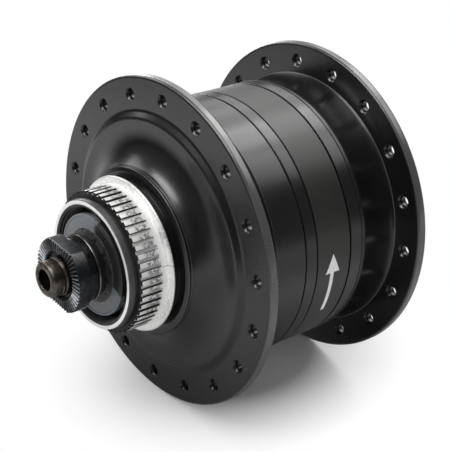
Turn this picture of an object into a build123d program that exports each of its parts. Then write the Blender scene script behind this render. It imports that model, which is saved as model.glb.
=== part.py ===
"""Front hub dynamo with a centre spline for a disc rotor, built from its separate pieces, in millimetres.

The wheel axis is Y. The disc side is -Y and the connector side is +Y. The origin lies on the axis, halfway
between the two locknut faces. The hub turns about the axle, and the axle, cones and stator stand still.
"""
from math import pi, sqrt
import os

from build123d import *

os.makedirs("parts", exist_ok=True)

# The two sides of the hub
DISC = -1
CONNECTOR = 1

# Flanges and spokes
spoke_circle_r = 40.0
spoke_edge = 5.0
spoke_hole_r = 1.3
spokes_per_flange = 18
first_spoke_degrees = 6.93
flange_t = 3.0
flange_bevel = 0.5
flange_disc_offset = 16.0
flange_connector_offset = 33.0

# Drum of the hub shell
drum_r = 36.15
waist_dip = 0.95
waist_disc_len = 7.0
waist_connector_len = 11.0
lip_rise = 0.35
end_wall_t = 3.2
plateau_w = 7.2
plateau_rise = 1.3
plateau_slope = 1.8
seam_y = 1.0
gasket_t = 0.4
gasket_inset = 0.5

# Printed band around the drum
band_offset = 5.06
band_w = 11.54
band_t = 0.25
band_inset = 0.05

# Boss on the disc side
flare_rise = 3.0
flare_w = 3.9
flare_slope = 1.0
flare_fillet = 2.6
boss_step_w = 1.1
boss_rise = 3.0
boss_w = 2.4
boss_bevel = 0.4
neck_len = 2.7
neck_h = 0.14

# Rotor spline
shoulder_h = 1.98
shoulder_w = 0.6
shoulder_bevel = 0.2
land_w = 1.8
tooth_h = 0.9
tooth_root_wall = 1.36
tooth_len = 6.1
tooth_count = 52
tooth_bevel = 0.35
groove_mouth_share = 0.46
groove_floor_share = 0.26

# Sleeve that carries the lockring thread and the disc side bearing
sleeve_wall = 1.6
sleeve_lip_h = 0.6
sleeve_lip_len = 2.75
sleeve_lip_bevel = 0.3
sleeve_tail = 9.0
sleeve_stop_h = 1.2
thread_len = 5.75
thread_entry = 0.9

# Boss on the connector side
rim_connector_wall = 2.9
rim_connector_rise = 4.0
rim_connector_gap = 0.6
rim_connector_fillet = 2.6
cup_seat_wall = 1.6
cup_seat_floor = 1.4

# Ball bearings
ball_r = 2.38
ball_spacing = 6.25
race_gap = 0.05
race_half = 1.6
cone_wall = 1.33
cone_lead = 1.6
cone_shoulder_len = 1.4
cup_wall = 1.0
cup_shelf = 1.95
cup_lip = 0.55
cup_reach = 2.0
retainer_w = 1.7
retainer_t = 0.6
retainer_gap = 0.35
tab_w = 0.9
tab_reach = 2.6
cover_t = 0.6
cover_gap = 0.35

# Axle
axle_thread_r = 5.0
axle_tip_step = 0.5
axle_bore_r = 2.75
axle_mid_r = 7.0
axle_collar_r = 11.0
axle_collar_t = 4.0
axle_overhang = 4.0
axle_bevel = 0.8
axle_step_gap = 1.0

# Pieces threaded on the axle
cone_neck_wall = 2.58
cone_nose = 2.35
seal_gap = 1.5
seal_t = 1.5
seal_ring_w = 3.8
seal_web = 0.6
seal_rim_gap = 0.3
lock_washer_r = 9.1
lock_washer_t = 0.8
spacer_r = 8.6
spacer_t = 2.6
locknut_r = 9.9
locknut_t = 4.0
locknut_flats = 17.0
locknut_recess_w = 1.3
locknut_recess_d = 0.8
locknut_bevel = 0.35

# Generator
stator_middle = 8.0
stator_len = 24.0
claw_plate_t = 2.2
claw_t = 1.8
claws_per_plate = 14
claw_root_share = 0.78
claw_tip_share = 0.46
claw_tip_gap = 1.0
air_gap = 0.4
magnet_t = 3.0
magnet_gap_share = 0.06
yoke_t = 1.78
yoke_overhang = 2.0
yoke_shoulder_h = 1.1
core_r = 10.5
bobbin_t = 1.2
bobbin_gap = 0.9
coil_inset = 1.2
nut_across_flats = 22.0
nut_t = 5.0
nut_washer_r = 10.8
nut_washer_t = 0.6

# Lead wire and connector
wire_r = 0.5
wire_bend_r = 1.6
wire_groove_d = 1.3
wire_channel_w = 1.2
contact_w = 2.8
contact_t = 0.6
contact_spacing = 5.2
contact_h = 7.0
contact_foot_t = 0.8
contact_foot_rise = 7.0
terminal_hub_r = 12.6
terminal_w = 17.0
terminal_depth = 6.9
terminal_top = 25.5
terminal_wall = 1.0
socket_floor = 16.0
terminal_back_gap = 0.5
terminal_corner = 1.2
washer_room = 0.5

# Clearances
fit_gap = 0.02
cut_over = 1.0

# Places worked out from the sizes above
flange_r = spoke_circle_r + spoke_edge
axle_tip_r = axle_thread_r - axle_tip_step
locknut_recess_r = axle_thread_r + locknut_recess_w
wire_groove_floor = axle_thread_r - wire_groove_d

race_near = (ball_r + race_gap) / sqrt(2) - race_half / sqrt(2)
race_far = race_near + sqrt(2) * race_half
cone_neck_r = axle_thread_r + fit_gap + cone_neck_wall
cone_small_r = axle_thread_r + fit_gap + cone_wall
cone_shoulder_r = cone_small_r + sqrt(2) * race_half
ball_circle_r = cone_shoulder_r + race_near
balls_per_side = int(2 * pi * ball_circle_r / ball_spacing)
cup_inner_r = ball_circle_r + race_near
cup_mouth_r = cup_inner_r + sqrt(2) * race_half
cup_r = cup_mouth_r + cup_wall

thread_r = cup_r + cup_shelf
sleeve_r = thread_r + sleeve_wall
sleeve_lip_r = sleeve_r + sleeve_lip_h
tooth_root_r = sleeve_r + tooth_root_wall
tooth_tip_r = tooth_root_r + tooth_h
shoulder_r = tooth_tip_r + shoulder_h
neck_r = tooth_tip_r + neck_h
boss_r = neck_r + boss_w
boss_step_r = boss_r + boss_step_w
flare_r = boss_step_r + flare_w
plateau_r = flare_r + boss_bevel + plateau_w

flange_disc_face = flange_disc_offset + flange_t
plateau_disc_face = flange_disc_face + plateau_rise
boss_flare_face = plateau_disc_face + flare_rise
boss_disc_face = boss_flare_face + boss_rise
neck_face = boss_disc_face + neck_len
shoulder_face = neck_face + shoulder_w
land_face = shoulder_face + land_w
tooth_face = land_face + tooth_len
sleeve_face = tooth_face + sleeve_lip_len
thread_floor = sleeve_face - thread_len

cup_back = race_far + cup_lip
retainer_near = ball_r + retainer_gap
retainer_r = ball_circle_r + retainer_gap
cover_near = retainer_near + retainer_t + cover_gap
cover_far = cover_near + cover_t
cover_bore_r = cone_shoulder_r + cover_gap
ball_disc = thread_floor - cover_far

seal_r = thread_r - seal_gap
seal_ring_inner_r = seal_r - seal_ring_w
rim_connector_bore_r = seal_r + rim_connector_gap
rim_connector_r = rim_connector_bore_r + rim_connector_wall

flange_connector_face = flange_connector_offset + flange_t
plateau_connector_face = flange_connector_face + plateau_rise
rim_connector_face = plateau_connector_face + rim_connector_rise

cone_face = sleeve_face + cone_nose
seal_disc_face = sleeve_face - seal_rim_gap
seal_connector_face = cone_face - seal_web
ball_connector = seal_connector_face - seal_t - seal_rim_gap - cover_far
washer_face = cone_face + lock_washer_t
nut_back = washer_face + spacer_t
nut_face = nut_back + locknut_t
axle_half = nut_face + axle_overhang

stator_disc_face = stator_middle - stator_len / 2
stator_connector_face = stator_middle + stator_len / 2
yoke_r = drum_r - band_t - band_inset - yoke_shoulder_h - 2 * fit_gap - gasket_inset
yoke_inner_r = yoke_r - yoke_t
magnet_r = yoke_inner_r - fit_gap
magnet_inner_r = magnet_r - magnet_t
claw_r = magnet_inner_r - air_gap
claw_inner_r = claw_r - claw_t
pole_degrees = 360 / (2 * claws_per_plate)
bobbin_r = claw_inner_r - bobbin_gap
yoke_disc_end = stator_disc_face - yoke_overhang
yoke_connector_end = stator_connector_face + yoke_overhang
cavity_r = yoke_r - yoke_shoulder_h
cavity_disc_end = -(flange_disc_face - end_wall_t)
cavity_connector_end = flange_connector_face - end_wall_t
coil_inner_r = core_r + 2 * fit_gap + bobbin_t
axle_step_disc = -(ball_disc - cone_lead - axle_step_gap)
axle_step_connector = ball_connector - cone_lead - axle_step_gap

wire_axis_z = wire_groove_floor + wire_r + fit_gap
wire_coil_end = stator_connector_face - claw_plate_t - bobbin_t - fit_gap - wire_channel_w
wire_contact_end = washer_face + spacer_t / 2
wire_top = wire_axis_z + contact_foot_rise

terminal_back = washer_face - terminal_back_gap
tab_back = terminal_back + terminal_wall


def turned(outline):
    """Solid turned about the axle from an outline of (radius, place) corners."""
    return revolve(make_face(Polyline(*outline, close=True)), Axis.Y)


def ring(inner_r, outer_r, start, end):
    """Plain ring between two places along the axle."""
    return turned([(inner_r, start), (outer_r, start), (outer_r, end), (inner_r, end)])


def spoke_drills(middle, turn_degrees):
    """Drills for the spoke holes of one flange."""
    drill = Pos(-spoke_circle_r, 0, 0) * ring(0, spoke_hole_r, middle - flange_t, middle + flange_t)
    step = 360 / spokes_per_flange
    return [Rot(0, turn_degrees + step * index, 0) * drill for index in range(spokes_per_flange)]


def shell_disc_side():
    """Disc side half of the hub shell: spoke flange, plateau, flared boss and half of the drum."""
    waist_start = -(flange_disc_offset - waist_disc_len)
    seam = seam_y - gasket_t / 2
    stop_r = sleeve_r - sleeve_stop_h
    outer = Polyline(
        (drum_r, waist_start),
        (drum_r, seam),
        (yoke_r + fit_gap, seam),
        (yoke_r + fit_gap, yoke_disc_end),
        (cavity_r, yoke_disc_end),
        (cavity_r, cavity_disc_end),
        (stop_r, cavity_disc_end),
        (stop_r, -neck_face + sleeve_tail),
        (sleeve_r + fit_gap, -neck_face + sleeve_tail),
        (sleeve_r + fit_gap, -neck_face),
        (neck_r, -neck_face),
        (neck_r, -boss_disc_face),
        (boss_r, -boss_disc_face),
        (boss_step_r, -boss_disc_face + boss_bevel),
        (boss_step_r, -boss_flare_face - flare_slope),
        (flare_r, -boss_flare_face),
        (flare_r + boss_bevel, -plateau_disc_face),
        (plateau_r, -plateau_disc_face),
        (plateau_r + plateau_slope, -flange_disc_face),
        (flange_r - flange_bevel, -flange_disc_face),
        (flange_r, -flange_disc_face + flange_bevel),
        (flange_r, -flange_disc_offset - flange_bevel),
        (flange_r - flange_bevel, -flange_disc_offset),
        (drum_r + lip_rise, -flange_disc_offset),
    )
    waist = ThreePointArc(
        (drum_r + lip_rise, -flange_disc_offset),
        (drum_r - waist_dip, (waist_start - flange_disc_offset) / 2),
        (drum_r, waist_start),
    )
    section = make_face([outer, waist])
    foot = section.vertices().sort_by_distance((flare_r + boss_bevel, -plateau_disc_face))[0]
    section = fillet(foot, flare_fillet)
    shell = revolve(section, Axis.Y)
    return shell - spoke_drills(-flange_disc_offset - flange_t / 2, first_spoke_degrees)


def shell_connector_side():
    """Connector side half of the hub shell: spoke flange, bearing boss and the longer part of the drum."""
    waist_start = flange_connector_offset - waist_connector_len
    seam = seam_y + gasket_t / 2
    seat_end = ball_connector + cover_far
    cup_stop = ball_connector - cup_back - cup_seat_floor
    band_seat_r = drum_r - band_t - band_inset
    outer = Polyline(
        (drum_r, waist_start),
        (drum_r, band_offset + band_w),
        (band_seat_r, band_offset + band_w),
        (band_seat_r, band_offset),
        (drum_r, band_offset),
        (drum_r, seam),
        (yoke_r + fit_gap, seam),
        (yoke_r + fit_gap, yoke_connector_end),
        (cavity_r, yoke_connector_end),
        (cavity_r, cavity_connector_end),
        (cup_r + cup_seat_wall, cavity_connector_end),
        (cup_r + cup_seat_wall, cup_stop),
        (cup_inner_r, cup_stop),
        (cup_inner_r, ball_connector - cup_back - fit_gap),
        (cup_r + fit_gap, ball_connector - cup_back - fit_gap),
        (cup_r + fit_gap, seat_end),
        (rim_connector_bore_r, seat_end),
        (rim_connector_bore_r, rim_connector_face),
        (rim_connector_r - boss_bevel, rim_connector_face),
        (rim_connector_r, rim_connector_face - boss_bevel),
        (rim_connector_r + boss_bevel, plateau_connector_face),
        (plateau_r, plateau_connector_face),
        (plateau_r + plateau_slope, flange_connector_face),
        (flange_r - flange_bevel, flange_connector_face),
        (flange_r, flange_connector_face - flange_bevel),
        (flange_r, flange_connector_offset + flange_bevel),
        (flange_r - flange_bevel, flange_connector_offset),
        (drum_r + lip_rise, flange_connector_offset),
    )
    waist = ThreePointArc(
        (drum_r + lip_rise, flange_connector_offset),
        (drum_r - waist_dip, (waist_start + flange_connector_offset) / 2),
        (drum_r, waist_start),
    )
    section = make_face([outer, waist])
    foot = section.vertices().sort_by_distance((rim_connector_r + boss_bevel, plateau_connector_face))[0]
    section = fillet(foot, rim_connector_fillet)
    shell = revolve(section, Axis.Y)
    half_step = 180 / spokes_per_flange
    return shell - spoke_drills(flange_connector_offset + flange_t / 2, first_spoke_degrees + half_step)


def seam_gasket():
    """Flat rubber ring clamped between the two shell halves, a little below the drum's surface."""
    return ring(yoke_r + fit_gap, drum_r - gasket_inset, seam_y - gasket_t / 2, seam_y + gasket_t / 2)


def label_band():
    """Thin printed band in its recess around the drum."""
    inner = drum_r - band_t - band_inset
    return ring(inner, inner + band_t, band_offset, band_offset + band_w)


def yoke_ring():
    """Rolled steel ring that joins the shell halves inside and carries the magnets' flux."""
    return ring(yoke_inner_r, yoke_r, yoke_disc_end, yoke_connector_end)


def ring_magnets():
    """Arc magnets around the stator, one for each claw of the two plates."""
    arc_degrees = pole_degrees * (1 - magnet_gap_share)
    section = make_face(Polyline(
        (magnet_inner_r, stator_disc_face),
        (magnet_r, stator_disc_face),
        (magnet_r, stator_connector_face),
        (magnet_inner_r, stator_connector_face),
        close=True,
    ))
    magnet = revolve(section, Axis.Y, revolution_arc=arc_degrees)
    return Compound([Rot(0, pole_degrees * index, 0) * magnet for index in range(2 * claws_per_plate)])


def claw_plate(face, inward):
    """Stator plate with claws bent over the coil: face is its outer face, inward its way to the coil."""
    plate_inner = face + inward * claw_plate_t
    claw_end = face + inward * (stator_len - claw_plate_t - claw_tip_gap)
    plate = ring(axle_mid_r + fit_gap, bobbin_r, face, plate_inner)
    crown = ring(bobbin_r, claw_r, face, plate_inner) + ring(claw_inner_r, claw_r, face, claw_end)
    pitch = 2 * pi * claw_r / (2 * claws_per_plate)
    root_half = pitch * claw_root_share / 2
    tip_half = pitch * claw_tip_share / 2
    blank = make_face(Polyline(
        (-root_half, face),
        (root_half, face),
        (root_half, plate_inner),
        (tip_half, claw_end),
        (-tip_half, claw_end),
        (-root_half, plate_inner),
        close=True,
    ))
    blade = extrude(blank, claw_r + cut_over, dir=(0, 0, 1))
    phase = 0 if inward > 0 else pole_degrees
    claws = [Rot(0, phase + 2 * pole_degrees * index, 0) * blade for index in range(claws_per_plate)]
    return plate + [crown & claw for claw in claws]


def stator_core():
    """Steel sleeve on the axle that carries the flux through the coil, slotted for the lead wire."""
    start = stator_disc_face + claw_plate_t
    end = stator_connector_face - claw_plate_t
    return ring(axle_mid_r + fit_gap, core_r, start, end) - wire_slot()


def bobbin():
    """Plastic bobbin between the claw plates, slotted for the lead wire."""
    start = stator_disc_face + claw_plate_t + fit_gap
    end = stator_connector_face - claw_plate_t - fit_gap
    tube_r = core_r + fit_gap + bobbin_t
    body = turned([
        (core_r + fit_gap, start),
        (bobbin_r, start),
        (bobbin_r, start + bobbin_t),
        (tube_r, start + bobbin_t),
        (tube_r, end - bobbin_t),
        (bobbin_r, end - bobbin_t),
        (bobbin_r, end),
        (core_r + fit_gap, end),
    ])
    return body - wire_slot()


def coil_winding():
    """Round coil of enamelled copper wire that fills the bobbin."""
    start = stator_disc_face + claw_plate_t + 2 * fit_gap + bobbin_t
    end = stator_connector_face - claw_plate_t - 2 * fit_gap - bobbin_t
    return ring(coil_inner_r, bobbin_r - coil_inset, start, end)


def wire_slot():
    """Slot through the core and the bobbin's tube for the lead wire."""
    place = Pos(0, wire_coil_end, coil_inner_r / 2)
    return place * Box(wire_channel_w, wire_channel_w, coil_inner_r + fit_gap)


def lead_wire():
    """Insulated wire from the coil, along the axle's groove, up to the live contact."""
    path = FilletPolyline(
        (0, wire_coil_end, coil_inner_r),
        (0, wire_coil_end, wire_axis_z),
        (0, wire_contact_end, wire_axis_z),
        (0, wire_contact_end, wire_top),
        radius=wire_bend_r,
    )
    return sweep(Plane(path @ 0, z_dir=path % 0) * Circle(wire_r), path=path)


def stator_nut():
    """Hexagon nut that clamps the stator against the axle's collar."""
    start = stator_connector_face + nut_washer_t
    outline = RegularPolygon(nut_across_flats / 2, 6, major_radius=False)
    nut = extrude(Plane((0, start, 0), z_dir=(0, 1, 0)) * outline, nut_t)
    return nut - ring(0, axle_mid_r + fit_gap, start - cut_over, start + nut_t + cut_over)


def stator_washer():
    """Steel washer under the stator nut."""
    washer_face = stator_connector_face + nut_washer_t
    return ring(axle_mid_r + fit_gap, nut_washer_r, stator_connector_face, washer_face)


def axle():
    """Hollow stepped axle with a collar for the stator and a groove for the lead wire."""
    collar_near = stator_disc_face - axle_collar_t
    body = turned([
        (axle_bore_r, -axle_half),
        (axle_tip_r - axle_bevel, -axle_half),
        (axle_tip_r, -axle_half + axle_bevel),
        (axle_tip_r, -nut_face),
        (axle_thread_r, -nut_face),
        (axle_thread_r, axle_step_disc),
        (axle_mid_r, axle_step_disc),
        (axle_mid_r, collar_near),
        (axle_collar_r, collar_near),
        (axle_collar_r, stator_disc_face),
        (axle_mid_r, stator_disc_face),
        (axle_mid_r, axle_step_connector),
        (axle_thread_r, axle_step_connector),
        (axle_thread_r, nut_face),
        (axle_tip_r, nut_face),
        (axle_tip_r, axle_half - axle_bevel),
        (axle_tip_r - axle_bevel, axle_half),
        (axle_bore_r, axle_half),
    ])
    groove_start = wire_coil_end - wire_channel_w / 2
    groove_end = wire_contact_end + wire_channel_w / 2
    groove_h = axle_mid_r + cut_over - wire_groove_floor
    groove_align = (Align.CENTER, Align.MIN, Align.MIN)
    groove = Box(wire_channel_w, groove_end - groove_start, groove_h, align=groove_align)
    return body - Pos(0, groove_start, wire_groove_floor) * groove


def cone(side, ball_place):
    """Bearing cone threaded on the axle, from its race out to the washer."""
    bore = axle_thread_r + fit_gap
    return turned([
        (bore, side * (ball_place - cone_lead)),
        (cone_small_r, side * (ball_place - cone_lead)),
        (cone_small_r, side * (ball_place + race_near)),
        (cone_shoulder_r, side * (ball_place + race_far)),
        (cone_shoulder_r, side * (ball_place + race_far + cone_shoulder_len)),
        (cone_neck_r, side * (ball_place + race_far + cone_shoulder_len)),
        (cone_neck_r, side * cone_face),
        (bore, side * cone_face),
    ])


def bearing_cup(side, ball_place):
    """Steel cup pressed in the hub, with its race around the balls."""
    return turned([
        (cup_inner_r, side * (ball_place - cup_back)),
        (cup_r, side * (ball_place - cup_back)),
        (cup_r, side * (ball_place + cup_reach)),
        (cup_mouth_r, side * (ball_place + cup_reach)),
        (cup_mouth_r, side * (ball_place - race_near)),
        (cup_inner_r, side * (ball_place - race_far)),
    ])


def bearing_balls():
    """Bearing balls of both sides, which roll around together, in plain facets that meet the races."""
    step = 360 / balls_per_side
    flat = ball_r * (sqrt(2) - 1)
    balls = []
    for place in (-ball_disc, ball_connector):
        ball = Pos(ball_circle_r, place, 0) * turned([
            (0, -ball_r),
            (flat, -ball_r),
            (ball_r, -flat),
            (ball_r, flat),
            (flat, ball_r),
            (0, ball_r),
        ])
        balls += [Rot(0, step * index, 0) * ball for index in range(balls_per_side)]
    return Compound(balls)


def ball_retainer(side, ball_place):
    """Steel ring with a tab between each pair of balls."""
    near = ball_place + retainer_near
    body = ring(retainer_r, retainer_r + retainer_w, side * near, side * (near + retainer_t))
    tab_len = tab_reach + retainer_t
    middle = side * (near + retainer_t - tab_len / 2)
    radial = retainer_w / sqrt(2)
    tab = Pos(retainer_r + retainer_w / 2, middle, 0) * Box(radial, tab_len, tab_w)
    step = 360 / balls_per_side
    tabs = [Rot(0, step * (index + 1 / 2), 0) * tab for index in range(balls_per_side)]
    return body + tabs


def dust_cover(side, ball_place):
    """Pressed steel ring that closes the bearing outside the balls."""
    return ring(cover_bore_r, cup_r, side * (ball_place + cover_near), side * (ball_place + cover_far))


def dust_seal(side, face):
    """Rubber seal on the cone's neck, with a flat outer ring and a slope down to the neck."""
    return turned([
        (cone_neck_r + fit_gap, side * (face - seal_t)),
        (seal_r, side * (face - seal_t)),
        (seal_r, side * face),
        (seal_ring_inner_r, side * face),
        (cone_neck_r + fit_gap, side * (face + seal_web)),
    ])


def rotor_spline_ring():
    """Aluminium ring with the rotor's spline teeth in front of a plain land and a thin shoulder."""
    bore = sleeve_r + fit_gap
    blank = turned([
        (bore, -neck_face),
        (shoulder_r, -neck_face),
        (shoulder_r, -shoulder_face + shoulder_bevel),
        (shoulder_r - shoulder_bevel, -shoulder_face),
        (tooth_tip_r, -shoulder_face),
        (tooth_tip_r, -tooth_face + tooth_bevel),
        (tooth_tip_r - tooth_bevel, -tooth_face),
        (bore, -tooth_face),
    ])
    pitch = 2 * pi * tooth_tip_r / tooth_count
    mouth_half = pitch * groove_mouth_share / 2
    floor_half = pitch * groove_floor_share / 2
    profile = make_face(Polyline(
        (-floor_half, tooth_root_r),
        (floor_half, tooth_root_r),
        (mouth_half, tooth_tip_r + fit_gap),
        (mouth_half, tooth_tip_r + cut_over),
        (-mouth_half, tooth_tip_r + cut_over),
        (-mouth_half, tooth_tip_r + fit_gap),
        close=True,
    ))
    plane = Plane((0, -land_face, 0), x_dir=(1, 0, 0), z_dir=(0, -1, 0))
    groove = extrude(plane * profile, tooth_len + cut_over)
    step = 360 / tooth_count
    return blank - [Rot(0, step * index, 0) * groove for index in range(tooth_count)]


def lockring_sleeve():
    """Sleeve through the spline ring into the boss: thread bore in front, bearing seat behind it."""
    tail_end = -neck_face + sleeve_tail
    seat_front = -thread_floor
    seat_back = -(ball_disc - cup_back) + fit_gap
    return turned([
        (cup_inner_r, tail_end),
        (sleeve_r, tail_end),
        (sleeve_r, -tooth_face),
        (sleeve_lip_r, -tooth_face),
        (sleeve_lip_r, -sleeve_face + sleeve_lip_bevel),
        (sleeve_lip_r - sleeve_lip_bevel, -sleeve_face),
        (thread_r + thread_entry, -sleeve_face),
        (thread_r, -sleeve_face + thread_entry),
        (thread_r, seat_front),
        (cup_r + fit_gap, seat_front),
        (cup_r + fit_gap, seat_back),
        (cup_inner_r, seat_back),
    ])


def lock_washer(side):
    """Thin steel washer against the cone."""
    return ring(axle_thread_r + fit_gap, lock_washer_r, side * cone_face, side * washer_face)


def locknut_spacer():
    """Steel spacer between the washer and the disc side locknut."""
    return ring(axle_thread_r + fit_gap, spacer_r, -washer_face, -nut_back)


def locknut(side):
    """Round locknut with two flats and a shallow recess in its outer face."""
    body = turned([
        (axle_thread_r + fit_gap, side * nut_back),
        (locknut_r, side * nut_back),
        (locknut_r, side * (nut_face - locknut_bevel)),
        (locknut_r - locknut_bevel, side * nut_face),
        (locknut_recess_r, side * nut_face),
        (locknut_recess_r, side * (nut_face - locknut_recess_d)),
        (axle_thread_r + fit_gap, side * (nut_face - locknut_recess_d)),
    ])
    middle = side * (nut_back + nut_face) / 2
    return body & Pos(0, middle, 0) * Box(2 * locknut_r, locknut_t, locknut_flats)


def contact_tab(centre, foot_z):
    """Upright tab against the back wall of the socket."""
    tab_h = socket_floor + contact_h - foot_z
    tab = Box(contact_w, contact_t, tab_h, align=(Align.CENTER, Align.MIN, Align.MIN))
    return Pos(centre, tab_back, foot_z) * tab


def live_contact():
    """Contact with a foot that reaches across to the end of the lead wire."""
    foot_start = -(contact_spacing + contact_w) / 2
    foot_len = wire_contact_end + wire_channel_w / 2 - tab_back
    foot = Box(wire_r - foot_start, foot_len, contact_foot_t, align=(Align.MIN, Align.MIN, Align.MIN))
    return contact_tab(-contact_spacing / 2, wire_top) + Pos(foot_start, tab_back, wire_top) * foot


def ground_contact():
    """Contact with a foot on the lock washer, which carries the return current to the axle."""
    foot_z = lock_washer_r - 2 * contact_foot_t
    foot_len = tab_back + contact_t - washer_face
    foot = Box(contact_w, foot_len, contact_foot_t, align=(Align.CENTER, Align.MIN, Align.MIN))
    foot = Pos(contact_spacing / 2, washer_face, foot_z) * foot
    return contact_tab(contact_spacing / 2, foot_z) + foot


def terminal_contacts():
    """The two contacts in the connector."""
    return Compound([live_contact(), ground_contact()])


def terminal_block():
    """Plastic connector body: a ring under the locknut and a socket that opens upwards."""
    hub = ring(axle_thread_r + fit_gap, terminal_hub_r, washer_face, nut_back)
    body = Pos(0, terminal_back, 0) * Box(
        terminal_w, terminal_depth, terminal_top, align=(Align.CENTER, Align.MIN, Align.MIN))
    body = fillet(body.edges().filter_by(Axis.Z), terminal_corner)
    wrench_room = Pos(0, nut_back, 0) * Box(
        terminal_w + cut_over, terminal_depth, 2 * terminal_hub_r,
        align=(Align.CENTER, Align.MIN, Align.CENTER))
    body = body - wrench_room
    body = body - ring(0, lock_washer_r + washer_room, terminal_back - cut_over, washer_face)
    body = body - ring(0, axle_thread_r + fit_gap, terminal_back, nut_back)
    socket = Pos(0, tab_back, socket_floor) * Box(
        terminal_w - 2 * terminal_wall, terminal_depth - 2 * terminal_wall, terminal_top,
        align=(Align.CENTER, Align.MIN, Align.MIN))
    channel = Pos(0, wire_contact_end, 0) * Box(
        wire_channel_w, wire_channel_w, wire_top, align=(Align.CENTER, Align.CENTER, Align.MIN))
    bend_room = Pos(0, wire_contact_end, 0) * Box(
        wire_channel_w, wire_bend_r, wire_axis_z + wire_bend_r, align=(Align.CENTER, Align.MAX, Align.MIN))
    return hub + body - socket - channel - bend_room - live_contact() - ground_contact()


pieces = {
    "shell_disc_side": shell_disc_side(),
    "shell_connector_side": shell_connector_side(),
    "seam_gasket": seam_gasket(),
    "label_band": label_band(),
    "yoke_ring": yoke_ring(),
    "ring_magnets": ring_magnets(),
    "rotor_spline_ring": rotor_spline_ring(),
    "lockring_sleeve": lockring_sleeve(),
    "bearing_cup_disc_side": bearing_cup(DISC, ball_disc),
    "bearing_cup_connector_side": bearing_cup(CONNECTOR, ball_connector),
    "dust_cover_disc_side": dust_cover(DISC, ball_disc),
    "dust_cover_connector_side": dust_cover(CONNECTOR, ball_connector),
    "bearing_balls": bearing_balls(),
    "ball_retainer_disc_side": ball_retainer(DISC, ball_disc),
    "ball_retainer_connector_side": ball_retainer(CONNECTOR, ball_connector),
    "axle": axle(),
    "cone_disc_side": cone(DISC, ball_disc),
    "cone_connector_side": cone(CONNECTOR, ball_connector),
    "dust_seal_disc_side": dust_seal(DISC, seal_disc_face),
    "dust_seal_connector_side": dust_seal(CONNECTOR, seal_connector_face),
    "lock_washer_disc_side": lock_washer(DISC),
    "lock_washer_connector_side": lock_washer(CONNECTOR),
    "locknut_spacer": locknut_spacer(),
    "locknut_disc_side": locknut(DISC),
    "locknut_connector_side": locknut(CONNECTOR),
    "stator_plate_disc_side": claw_plate(stator_disc_face, 1),
    "stator_plate_connector_side": claw_plate(stator_connector_face, -1),
    "stator_core": stator_core(),
    "bobbin": bobbin(),
    "coil_winding": coil_winding(),
    "stator_washer": stator_washer(),
    "stator_nut": stator_nut(),
    "lead_wire": lead_wire(),
    "terminal_block": terminal_block(),
    "terminal_contacts": terminal_contacts(),
}

for name, piece in pieces.items():
    export_step(piece, f"parts/{name}.step")

print("over locknuts", 2 * nut_face, "axle", 2 * axle_half, "balls at", -ball_disc, ball_connector)
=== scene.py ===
"""Front hub dynamo for a disc brake, dressed for the photograph: every outer piece is turned, cut or pressed
again at full detail, and the pieces inside keep their solids with their own finishes. Lengths in the tables
are millimetres, as on the workshop drawing, and places run along the wheel axis from the disc side (-Y) to the
connector side (+Y)."""

from math import atan2, cos, pi, radians, sin, sqrt

import bmesh
import bpy
from mathutils import Matrix, Vector


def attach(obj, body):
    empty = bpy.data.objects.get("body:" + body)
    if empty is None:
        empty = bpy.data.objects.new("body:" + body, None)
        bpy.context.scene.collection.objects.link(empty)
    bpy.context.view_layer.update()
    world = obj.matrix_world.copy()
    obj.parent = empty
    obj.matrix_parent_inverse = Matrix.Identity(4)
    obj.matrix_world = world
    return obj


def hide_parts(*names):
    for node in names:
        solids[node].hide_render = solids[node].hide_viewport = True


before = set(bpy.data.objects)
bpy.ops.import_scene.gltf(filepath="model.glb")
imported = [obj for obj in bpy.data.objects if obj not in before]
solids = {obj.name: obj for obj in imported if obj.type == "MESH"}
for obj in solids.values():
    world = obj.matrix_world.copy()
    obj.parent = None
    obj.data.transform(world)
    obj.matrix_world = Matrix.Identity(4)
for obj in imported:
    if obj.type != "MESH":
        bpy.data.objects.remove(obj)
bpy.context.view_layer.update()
scene = bpy.context.scene
mm = 0.001


# Camera.
# A long lens looks down on the disc side, over the nut, with the axle running away to the upper right.
photo_camera = bpy.data.objects.new("photo_camera", bpy.data.cameras.new("photo_camera"))
photo_camera.data.sensor_width = 36.0
photo_camera.data.lens = 97.06
photo_camera.data.clip_start = 0.01
to_right = Vector((0.63040323, 0.77144105, 0.08643192))
to_top = Vector((-0.42707073, 0.25168747, 0.86848374))
to_back = Vector((0.64823017, -0.5844075, 0.48812448))
aim = Matrix((to_right, to_top, to_back)).transposed().to_4x4()
photo_camera.matrix_world = Matrix.Translation((0.21821338, -0.19213511, 0.16285235)) @ aim
scene.collection.objects.link(photo_camera)
scene.camera = photo_camera


# Axle.
# One hollow steel bar, turned in steps and threaded from both ends. Its ends are rounded, worn bright by the
# fork and brown with old grease, and the bore that takes the skewer runs right through.
def turn(corners, steps=160, rounding=3):
    """Turned piece from (radius, place, edge rounding) corners, in the order of its outline."""
    bm = bmesh.new()
    points = [bm.verts.new((radius * mm, place * mm, 0)) for radius, place, _ in corners]
    for first, second in zip(points, points[1:] + points[:1]):
        bm.edges.new((first, second))
    for size in sorted({corner[2] for corner in corners if corner[2]}):
        chosen = [point for point, corner in zip(points, corners) if corner[2] == size]
        bmesh.ops.bevel(bm, geom=chosen, offset=size * mm, offset_type="OFFSET", segments=rounding,
                        profile=0.5, affect="VERTICES", clamp_overlap=True, material=-1)
    bmesh.ops.spin(bm, geom=bm.verts[:] + bm.edges[:], cent=(0, 0, 0), axis=(0, 1, 0), dvec=(0, 0, 0),
                   angle=2 * pi, steps=steps, use_merge=True, use_duplicate=False)
    bmesh.ops.recalc_face_normals(bm, faces=bm.faces[:])
    return bm


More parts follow.
